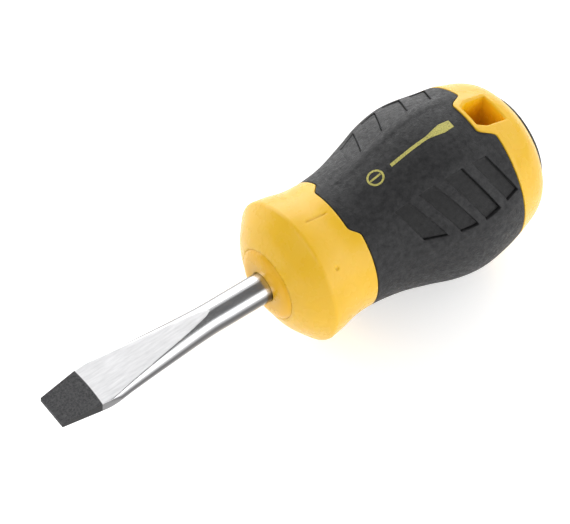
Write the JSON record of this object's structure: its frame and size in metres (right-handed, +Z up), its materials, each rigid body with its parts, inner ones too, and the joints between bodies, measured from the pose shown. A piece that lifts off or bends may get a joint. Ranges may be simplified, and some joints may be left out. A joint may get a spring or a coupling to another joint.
{
  "type": "stubby slotted screwdriver",
  "caption": "Stubby slotted screwdriver: short flared chrome blade with a dark tip, fat yellow and black soft-grip handle, hanging hole and domed cap.",
  "frame": {"origin": "on the ground under the middle of the tool, which lies on its side with the hanging hole upright", "axes": "+X from the tip to the butt along the tool's axis, +Z up"},
  "size_m": [0.101, 0.034, 0.0339],
  "materials": {
    "blade_steel": "bright chrome plate, with a dark blasted tip",
    "core_plastic": "satin yellow moulding",
    "handle_plastic": "smooth yellow moulding",
    "grip_rubber": "soft matt black moulding with a fine texture",
    "cap_plastic": "satin black moulding"
  },
  "bodies": {
    "root": {"blade": "blade_steel", "core_slug": "core_plastic", "handle_body": "handle_plastic", "grip_sleeve": "grip_rubber", "end_cap": "cap_plastic"}
  },
  "joints": []
}
